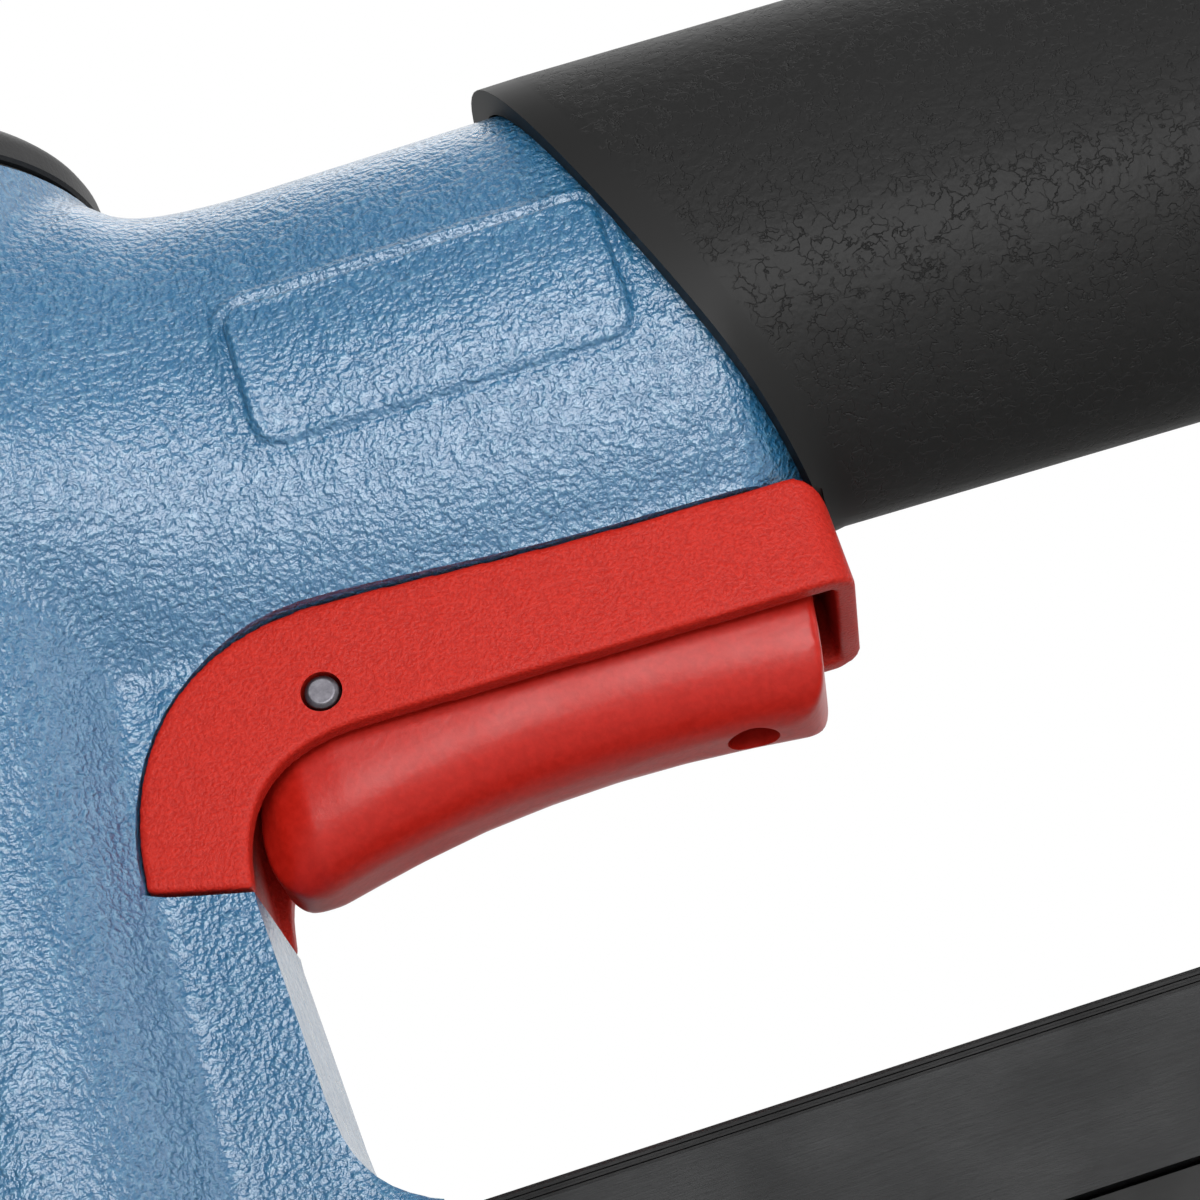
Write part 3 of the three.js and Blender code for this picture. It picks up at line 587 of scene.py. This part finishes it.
def makeBracket():
    size = bracket
    lower = [(75.6, 68.7), (36.0, 69.9)] + bend((36.0, 69.9), (27.5, 70.3), (23.4, 66.5), (23.0, 58.7), 12)
    side = bracketTop(0)[:-1] + arc((size["rearX"] - 2.8, 76.2), 2.8, 88, 0, 6)
    side += [(size["rearX"], 68.7)] + lower
    shell = looseObject("bracketShell", prism(side, -size["half"], size["half"]))
    plan = [(0, -size["half"]), (size["rearX"] - 2.6, -size["half"])]
    plan += arc((size["rearX"] - 2.6, -size["half"] + 2.6), 2.6, -90, 0, 8)
    plan += arc((size["rearX"] - 2.6, size["half"] - 2.6), 2.6, 0, 90, 8) + [(0, size["half"])]
    carve(shell, prism(plan, 40, 100, "z"), "INTERSECT")
    inner = [(22.2, 50), (22.2, 66)] + bend((22.2, 66), (22.6, 74), (26, 78.3), (33, 78.3), 10)
    inner += [(59.0, 77.4), (76.1, 76.8), (76.1, 50)]
    hollow = size["half"] - size["wall"]
    carve(shell, prism(inner, -hollow, hollow))
    carve(shell, rod(size["headClear"], 40, 100, 128))
    carve(shell, rod(7.0, 70, 90, 48, (56, 0, 0)))
    soften(shell, 0.34, 3)
    carve(shell, rod(1.78, -20, 20, 48, triggerPivot, "y"))
    return finish(shell, "frame", ["trigger_bracket"], [redNylon], sharp=60)


def makeTriggerPin():
    reach = bracket["half"] + 0.15
    profile = [(0, -reach), (1.15, -reach), (1.5, -reach + 0.35), (1.5, reach - 0.35), (1.15, reach),
               (0, reach)]
    pin = looseObject("triggerPin", turned(profile, 48, triggerPivot, "y"))
    return finish(pin, "frame", ["trigger_pin"], [brightSteel], edge=0.12)


makeBracket()
makeTriggerPin()
print("bracket made")


# Trigger

def makeTrigger():
    side = [(28.7, 74)] + bend((28.7, 74), (27, 71), (24.4, 68.5), (24.0, 65.0), 6)
    side += bend((24.0, 65.0), (23.6, 61.8), (24.6, 58.6), (28.2, 58.9), 8)
    side += bend((28.2, 58.9), (35, 60.6), (42, 61.9), (52, 61.9), 10)
    side += bend((52, 61.9), (59, 61.9), (64, 61.6), (69.6, 60.7), 8)
    side += bend((69.6, 60.7), (72.8, 60.4), (73.2, 63), (73.8, 66.4), 6)
    side += [(74.6, 71.8), (37.2, 72.6)] + bend((37.2, 72.6), (36.4, 76.6), (33.4, 77.5), (31.6, 77.2), 5)
    side += bend((31.6, 77.2), (30, 76.8), (29, 75.8), (28.7, 74), 4)[:-1]
    lever = looseObject("triggerLever", prism(side, -9, 9))
    # its underside is rounded across, and its nose narrows
    lowLine = [(20, 59.2, 2.6), (24, 58.9, 3.6), (26, 58.7, 5.6), (28.5, 58.8, 6.7), (32, 59.6, 7.0),
               (36, 60.4, 7.0), (42, 61.3, 7.0), (48, 61.75, 7.0), (54, 61.85, 7.0), (60, 61.6, 7.0),
               (66, 61.05, 7.0), (71, 60.4, 6.9), (76, 60.2, 6.7)]
    rows = []
    for x, low, half in lowLine:
        flank = [(0, low)] + bend((0, low), (half * 0.62, low), (half, low + 2.6), (half, low + 7.5), 12)
        flank += [(half, 80)]
        rows.append((x, flank + [(-y, z) for y, z in reversed(flank[1:])]))
    carve(lever, loft(rows), "INTERSECT")
    carve(lever, brick((38, 71.5), (-4.8, 4.8), (65.6, 90)))
    soften(lever, 0.34, 9)
    carve(lever, rod(2.25, 50, 90, 48, (66, 0, 0)))
    carve(lever, rod(1.8, -20, 20, 48, triggerPivot, "y"))
    return finish(lever, "trigger", ["trigger"], [redTriggerNylon], sharp=60)


makeTrigger()
print("trigger made")


# Cap, gasket and deflector

def makeHeadTop():
    gasket = looseObject("headGasket", turned([(18.2, 129.4), (23.5, 129.4), (23.5, 130.1), (18.2, 130.1),
                                               (18.2, 129.4)], 96))
    finish(gasket, "frame", ["head_gasket"], [sealRubber])
    rim = arc((21.4, 132.2), 2.8, 0, 90, 6)
    cap = looseObject("capDisc", turned([(0, 130.2), (23.9, 130.2), (24.2, 130.5)] + rim + [(0, 135.0)], 128))
    carve(cap, rod(2.3, 120, 140, 32))
    for sideX in (-1, 1):
        for sideY in (-1, 1):
            carve(cap, rod(1.7, 120, 140, 24, (sideX * screws["cap"], sideY * screws["cap"], 0)))
    finish(cap, "frame", ["cylinder_cap"], [blackNylon], edge=0.2, segments=2)
    dome = [(0, 135.3), (15.5, 135.3), (16, 135.8), (16, 138.6)]
    dome += bend((16, 138.6), (16, 141.2), (14, 142.6), (11, 142.6), 6)
    top = looseObject("deflectorDome", turned(dome + [(0, 142.6)], 96))
    carve(top, turned([(5.5, 137), (13.6, 137), (13.6, 140.6), (5.5, 140.6), (5.5, 137)], 64))
    for turn in (-0.5, 0, 0.5):
        slot = brick((10, 20), (-2.6, 2.6), (137, 139.6))
        bmesh.ops.rotate(slot, verts=slot.verts, cent=place(0, 138), matrix=Matrix.Rotation(turn, 3, "Z"))
        carve(top, slot)
    carve(top, rod(2.6, 130, 150, 32))
    carve(top, rod(5.2, 140.9, 150, 48))
    finish(top, "deflector", ["exhaust_deflector"], [blackNylon], edge=0.35)


def socketScrew(name, stands, body, at, along, shank, length, head, height):
    # a socket cap screw: knurl-free turned head with a rounded rim and a hexagon socket
    low = -length
    profile = [(0, low), (shank - 0.3, low), (shank, low + 0.3), (shank, 0), (head, 0),
               (head, height - 0.35), (head - 0.35, height), (0, height)]
    screw = looseObject(name, turned(profile, 40, at, along))
    carve(screw, rod(head * 0.52, height * 0.45, height * 1.5, 6, at, along))
    finish(screw, body, [stands], [zincSteel], edge=0.12, segments=2)


makeHeadTop()
number = 1
for sideX in (-1, 1):
    for sideY in (-1, 1):
        seat = (sideX * screws["cap"], sideY * screws["cap"], 135.1)
        socketScrew(f"capScrew{number}", f"cap_screw_{number}", "frame", seat, "z", 1.4, 16, 2.7, 2.8)
        number += 1
socketScrew("deflectorScrew", "deflector_screw", "frame", (0, 0, 141.2), "z", 1.9, 9.5, 4.4, 2.6)
print("head top made")


# Rear end of the handle

def makeRear():
    fall = handle["droopSlope"] * (handle["end"] - handle["droopStart"])
    centreZ = handle["middle"] - fall
    for name, stands, grow, x0, x1, hole, material, slot, edge in (
            ("endSeal", "end_cap_seal", -0.6, 183.1, 183.6, 7.0, sealRubber, "seal_rubber", 0.0),
            ("endCap", "handle_end_cap", 2.4, 183.7, 190.0, 6.6, bareAluminium, "aluminium", 1.4)):
        outline = [(y, z - fall) for y, z in handleSection(grow, 150.0)]
        plate = looseObject(name, prism(outline, x0, x1, "x"))
        carve(plate, rod(hole, -10, 20, 48, (x0, 0, centreZ), "x"))
        for side in (-1, 1):
            carve(plate, rod(1.8, -10, 20, 24, (x0, 0, centreZ + side * screws["end"]), "x"))
        finish(plate, "frame", [stands], [material], edge=edge, segments=4)
    plug = [(1.9, 180), (6.2, 180), (6.2, 190.1), (7.0, 190.1), (7.0, 197), (5.9, 197.6), (5.9, 203),
            (4, 205), (4, 208.6), (5.9, 210.2), (5.9, 211.4), (4.1, 213), (4.1, 215.4), (3.6, 216),
            (1.9, 216), (1.9, 180)]
    tail = looseObject("airPlug", turned(plug, 64, (0, 0, centreZ), "x"))
    nut = turned([(2.5, 190.1), (8.0, 190.1), (8.0, 197), (2.5, 197), (2.5, 190.1)], 6, (0, 0, centreZ), "x")
    carve(tail, nut, "UNION")
    finish(tail, "frame", ["air_plug"], [zincSteel], edge=0.2, segments=2)
    for index, side in enumerate((1, -1)):
        seat = (190.1, 0, centreZ + side * screws["end"])
        socketScrew(f"endScrew{index + 1}", f"end_cap_screw_{index + 1}", "frame", seat, "x", 1.5, 17, 2.9, 3)


makeRear()
print("handle end made")


# Nose

def makeNose():
    face = [(-7.6, 0), (7.6, 0), (9.6, 5), (9.6, 22), (10.9, 26), (10.9, 40), (-10.9, 40), (-10.9, 26),
            (-9.6, 22), (-9.6, 5)]
    lowFace = [(u, min(v, 28.0)) for u, v in face]
    plate = looseObject("noseFront", prism(face, -12.4, -9.1, "x"))
    carve(plate, prism(lowFace, -9.3, -1.0, "x"), "UNION")
    carve(plate, brick((-2.2, 0), (-6.7, 6.7), (-5, 50)))
    for sideY in (-1, 1):
        for height in screws["noseZ"]:
            carve(plate, rod(1.7, -3, 8, 24, (-12.4, sideY * screws["noseY"], height), "x"))
    finish(plate, "frame", ["nose_front_plate"], [blackSteel], edge=0.5)
    back = looseObject("noseBack", prism(lowFace, 0.9, 5.6, "x"))
    carve(back, brick((0, 10), (-6.9, 6.9), (7, 24.5)))
    finish(back, "frame", ["nose_back_plate"], [blackSteel], edge=0.4)
    number = 1
    for sideY in (-1, 1):
        for height in screws["noseZ"]:
            seat = (-12.5, sideY * screws["noseY"], height)
            socketScrew(f"noseScrew{number}", f"nose_screw_{number}", "frame", seat, "-x", 1.4, 9, 2.3, 2.4)
            number += 1


makeNose()
print("nose made")


# Magazine

def darkenAbove(material, height):
    # above this height the rail is coloured a flat near black
    tree = material.node_tree
    shader = tree.nodes["Principled BSDF"]
    tint = shader.inputs["Base Color"].links[0].from_socket
    spot = node(tree, "ShaderNodeSeparateXYZ", i0=node(tree, "ShaderNodeTexCoord").outputs["Object"])
    above = mapRange(tree, spot.outputs["Z"], height - 0.00004, height + 0.00004, 0.0, 1.0)
    mix = node(tree, "ShaderNodeMix", {"data_type": "RGBA"}, i0=above, i6=tint, i7=colour("#0b0b0c"))
    tree.links.new(mix.outputs[2], shader.inputs["Base Color"])


magazine = {"half": 11.0, "top": 28.0, "step": 14.2, "front": 6.0, "end": 166.0, "wall": 2.0,
            "slideHalf": 10.0, "slideLow": 4.0}


def makeMagazine():
    m = magazine
    h, w = m["half"], m["wall"]
    section = [(-h, m["step"])]
    # two fine drawn lines run under the top edge of each flank
    for z in (m["top"] - 1.25, m["top"] - 0.75):
        section += [(-h, z - 0.16), (-h + 0.16, z - 0.1), (-h + 0.16, z + 0.1), (-h, z + 0.16)]
    section += [(-h, m["top"] - 0.35), (-h + 0.35, m["top"])]
    section += [(-y, z) for y, z in reversed(section)]
    section += [(h - w, m["step"]), (h - w, m["top"] - w), (-h + w, m["top"] - w), (-h + w, m["step"])]
    darkenAbove(anodisedRail, (m["top"] - 1.35) * mm)
    rail = looseObject("railCover", prism(section, m["front"], m["end"], "x"))
    carve(rail, brick((154.4, 159.6), (-5.2, 5.2), (25, 30)))
    for side in (-1, 1):
        carve(rail, rod(1.7, 20, 35, 24, (screws["magazineX"], side * screws["magazineY"], 0)))
    finish(rail, "frame", ["magazine_rail"], [anodisedRail], sharp=25)
    s, low, top = m["slideHalf"], m["slideLow"], m["step"] - 0.4
    channel = [(-s + 0.8, low), (s - 0.8, low), (s, low + 0.8), (s, top), (8.4, top), (8.4, 6.4), (5.2, 6.4),
               (5.2, 20), (-5.2, 20), (-5.2, 6.4), (-8.4, 6.4), (-8.4, top), (-s, top), (-s, low + 0.8)]
    slide = looseObject("slideChannel", prism(channel, m["front"] + 0.2, 168, "x"))
    for height in screws["tailZ"]:
        carve(slide, rod(1.3, -10, 10, 24, (163, 0, height), "x"))
    finish(slide, "magazine_slide", ["magazine_slide"], [anodisedSlide], edge=0.25, segments=2)


def makeTail():
    side = [(163, 0), (180, 0)] + bend((180, 0), (183, 0), (184, 2), (184, 5), 5)
    side += [(184, 22), (176.5, 23.6), (176.5, 33), (168.4, 33), (168.4, 3.7), (163, 3.7)]
    tail = looseObject("tailBlock", prism(side, -10.6, 10.6))
    carve(tail, brick((160, 190), (-5, 5), (26, 40)))
    carve(tail, rod(1.8, -20, 20, 32, latchPivot, "y"))
    carve(tail, rod(2.8, 20.6, 30, 32, (180, 0, 0)))
    for height in screws["tailZ"]:
        carve(tail, rod(1.6, -30, 20, 24, (178, 0, height), "x"))
        carve(tail, rod(3, 0, 20, 32, (178, 0, height), "x"))
    finish(tail, "magazine_slide", ["magazine_tail"], [blackNylon], edge=0.9, segments=4)
    for index, height in enumerate(screws["tailZ"]):
        socketScrew(f"tailScrew{index + 1}", f"tail_screw_{index + 1}", "magazine_slide", (178.1, 0, height),
                    "x", 1.1, 18, 2.4, 2.2)
    outline = [(155.2, 26.4), (157.8, 26.4), (158.4, 28.3), (167, 28.3), (170, 27), (175, 27), (178, 28.6),
               (184.5, 29.4), (187, 31.4), (187, 32.6), (184.5, 33.4), (171, 33.4), (160, 31.2),
               (155.2, 30.6)]
    lever = looseObject("latchLever", prism(outline, -4.6, 4.6))
    carve(lever, rod(1.8, -20, 20, 32, latchPivot, "y"))
    finish(lever, "latch", ["latch_lever"], [zincSteel], edge=0.45)


makeMagazine()
makeTail()
print("magazine made")


# Coil springs, each made at one length and listed with the joint that moves it

springs = {
    "head_valve_spring": {"body": "frame", "joint": "head_valve_lift", "at": (0, 0), "radius": 12.5,
                          "wire": 1.2, "turns": 4, "low": 118.8, "high": 129.9, "fixed": 129.9, "keep": 0.72},
    "trigger_spring": {"body": "frame", "joint": "trigger_pull", "at": (56, 0), "radius": 3.0, "wire": 0.7,
                       "turns": 6, "low": 66.1, "high": 78.3, "fixed": 78.3, "keep": 0.74},
    "latch_spring": {"body": "magazine_slide", "joint": "latch_lift", "at": (180, 0), "radius": 2.0,
                     "wire": 0.5, "turns": 5, "low": 20.9, "high": 28.4, "fixed": 20.9, "keep": 0.78},
}


def makeSpring(name, size):
    bm = bmesh.new()
    steps, around = size["turns"] * 32, 10
    rings = []
    for i in range(steps + 1):
        angle = 2 * math.pi * size["turns"] * i / steps
        rise = size["low"] + size["wire"] / 2 + (size["high"] - size["low"] - size["wire"]) * i / steps
        ring = []
        for k in range(around):
            turn = 2 * math.pi * k / around
            reach = size["radius"] + size["wire"] / 2 * math.cos(turn)
            height = rise + size["wire"] / 2 * math.sin(turn)
            ring.append(bm.verts.new(place(size["at"][0] + reach * math.cos(angle), height,
                                           size["at"][1] + reach * math.sin(angle))))
        rings.append(ring)
    for one, other in zip(rings, rings[1:]):
        for k in range(around):
            bm.faces.new((one[k - 1], one[k], other[k], other[k - 1]))
    bm.faces.new(rings[0])
    bm.faces.new(rings[-1])
    bmesh.ops.recalc_face_normals(bm, faces=bm.faces)
    coil = looseObject(name + "Coil", bm)
    finish(coil, size["body"], [name], [zincSteel], sharp=60)
    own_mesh(coil)


for name, size in springs.items():
    makeSpring(name, size)
print("springs made")


# Inner pieces and small metal parts keep their own shape
innerFinish = {
    bareAluminium: ["cylinder_sleeve", "piston", "head_valve"],
    sealRubber: ["sleeve_o_ring_lower", "sleeve_o_ring_upper", "piston_o_ring", "head_valve_o_ring",
                 "bumper"],
    brightSteel: ["driver_blade", "driver_pin", "valve_stem", "latch_pin", "pusher", "pusher_roll_spring",
                  "magazine_screw_1", "magazine_screw_2"],
    turnedBrass: ["valve_body"],
}
for material, names in innerFinish.items():
    for name in names:
        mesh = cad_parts[name].data
        mesh.materials.clear()
        mesh.materials.append(material)


# Floor, light and camera

view = {"turn": -1.315, "rise": -24.287, "roll": 18.373, "lens": 90.779, "sensor": 36.0, "away": 263.13,
        "aimX": 57.335, "aimZ": 77.93}


def makeStudio():
    floor = bmesh.new()
    bmesh.ops.create_circle(floor, cap_ends=True, segments=96, radius=2.5)
    disc = looseObject("studioFloor", floor)
    paper, tree, shader = newMaterial("pale studio paper", "#f2f2f0", 0.8)
    spot = node(tree, "ShaderNodeTexCoord").outputs["Object"]
    fibre = node(tree, "ShaderNodeTexNoise", Vector=spot, Scale=perMetre(1.5), Detail=3.0)
    relief = node(tree, "ShaderNodeBump", Strength=0.1, Distance=0.0002, Height=fibre.outputs["Fac"])
    tree.links.new(relief.outputs[0], shader.inputs["Normal"])
    # the paper is seen from above only
    clear = node(tree, "ShaderNodeBsdfTransparent")
    face = node(tree, "ShaderNodeNewGeometry")
    mixer = node(tree, "ShaderNodeMixShader", i0=face.outputs["Backfacing"], i1=shader.outputs[0],
                 i2=clear.outputs[0])
    tree.links.new(mixer.outputs[0], tree.nodes["Material Output"].inputs["Surface"])
    disc.data.materials.append(paper)
    world = bpy.data.worlds.new("softWorld")
    bpy.context.scene.world = world
    world.use_nodes = True
    sky = world.node_tree
    back = sky.nodes["Background"]
    back.inputs["Color"].default_value = (1, 1, 1, 1)
    rays = node(sky, "ShaderNodeLightPath")
    # a white backdrop stands behind the gun and round its right, and the rest of the room is dim
    heading = node(sky, "ShaderNodeVectorMath", {"operation": "DOT_PRODUCT"}, i1=(0.45, 0.9, 0.0),
                   i0=node(sky, "ShaderNodeTexCoord").outputs["Generated"])
    room = mapRange(sky, heading.outputs["Value"], -0.1, 0.35, 0.22, 0.95)
    level = node(sky, "ShaderNodeMapRange", i0=rays.outputs["Is Camera Ray"], i1=0.0, i2=1.0, i3=room, i4=1.0)
    sky.links.new(level.outputs[0], back.inputs["Strength"])
    bpy.context.scene.view_settings.view_transform = "Standard"


def softbox(name, at, aim, size, watts, spread=180.0):
    light = bpy.data.lights.new(name, "AREA")
    light.shape = "RECTANGLE"
    light.size, light.size_y = size
    light.energy = watts
    light.spread = math.radians(spread)
    lamp = bpy.data.objects.new(name, light)
    bpy.context.scene.collection.objects.link(lamp)
    lamp.location = at
    lamp.visible_camera = False
    lamp.rotation_euler = (Vector(aim) - Vector(at)).to_track_quat("-Z", "Y").to_euler()


def makeCamera():
    turn, rise, roll = (math.radians(view[k]) for k in ("turn", "rise", "roll"))
    # from the aim point towards the camera, which stands low and looks up
    toCamera = Vector((math.sin(turn) * math.cos(rise), -math.cos(turn) * math.cos(rise), math.sin(rise)))
    right = Vector((math.cos(turn), math.sin(turn), 0))
    up = toCamera.cross(right)
    frameRight = right * math.cos(roll) - up * math.sin(roll)
    frameUp = right * math.sin(roll) + up * math.cos(roll)
    spot = place(view["aimX"], view["aimZ"]) + toCamera * view["away"] * mm
    lens = bpy.data.cameras.new("camera")
    lens.sensor_width = view["sensor"]
    lens.lens = view["lens"]
    lens.clip_start = 0.01
    camera = bpy.data.objects.new("camera", lens)
    bpy.context.scene.collection.objects.link(camera)
    axes = Matrix((frameRight, frameUp, toCamera)).transposed().to_4x4()
    camera.matrix_world = Matrix.Translation(spot) @ axes
    bpy.context.scene.camera = camera


makeStudio()
aim = place(57, 80)
softbox("frontSoftbox", place(100, 96, -360), place(64, 96), (0.24, 0.22), 0.42, 100.0)
softbox("sideSoftbox", aim + Vector((0.8, -0.3, 0.3)), aim, (0.5, 0.5), 1.7)
softbox("topSoftbox", aim + Vector((0.15, 0.15, 0.9)), aim, (0.8, 0.6), 2.0)
makeCamera()
print("studio made")
